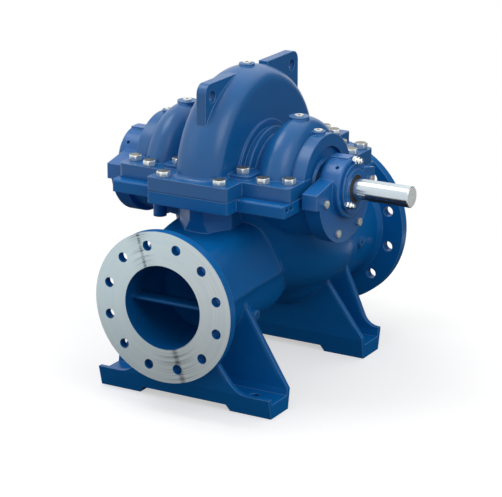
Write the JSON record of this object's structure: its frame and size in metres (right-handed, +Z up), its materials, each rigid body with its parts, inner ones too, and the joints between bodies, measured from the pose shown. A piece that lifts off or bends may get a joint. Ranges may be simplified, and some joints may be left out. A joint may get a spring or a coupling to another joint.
{
  "type": "horizontal split case pump",
  "caption": "Double suction split case pump with in-line side flanges, a lift-off upper casing with lifting lugs, two bearing housings, cast feet and a free shaft end.",
  "frame": {"origin": "on the floor, at the centre of the four foot bolts", "axes": "+X along the shaft towards the free drive end, +Y towards the suction flange, +Z up"},
  "size_m": [0.786, 0.824, 0.755],
  "materials": {
    "casing_paint": "satin blue paint over cast iron",
    "gasket": "thin dark fibre sheet",
    "polished_steel": "ground and polished steel",
    "bronze": "cast and turned bronze",
    "plated_steel": "zinc plated",
    "rubber": "black rubber"
  },
  "bodies": {
    "pump_body": {"lower_casing": "casing_paint", "upper_casing": "casing_paint", "split_gasket": "gasket", "vent_plug": "plated_steel", "bearing_cover_drive_end": "casing_paint", "bearing_cover_non_drive_end": "casing_paint", "wear_ring_drive_end": "bronze", "seal_plate_drive_end": "casing_paint", "bearing_housing_drive_end": "casing_paint", "bell_plug_drive_end": "plated_steel", "flush_plug_drive_end": "plated_steel", "grease_nipple_top_drive_end": "plated_steel", "grease_nipple_low_drive_end": "plated_steel", "wear_ring_non_drive_end": "bronze", "seal_plate_non_drive_end": "casing_paint", "bearing_housing_non_drive_end": "casing_paint", "bell_plug_non_drive_end": "plated_steel", "flush_plug_non_drive_end": "plated_steel", "grease_nipple_top_non_drive_end": "plated_steel", "grease_nipple_low_non_drive_end": "plated_steel"},
    "rotor": {"shaft": "polished_steel", "impeller": "bronze", "shaft_sleeve_drive_end": "polished_steel", "shaft_sleeve_non_drive_end": "polished_steel", "flinger_drive_end": "rubber", "flinger_non_drive_end": "rubber"}
  },
  "joints": [
    {"name": "rotor_spin", "type": "hinge", "parent": "pump_body", "child": "rotor", "pos_m": [0, 0, 0.494], "axis": [1, 0, 0], "continuous": true}
  ]
}
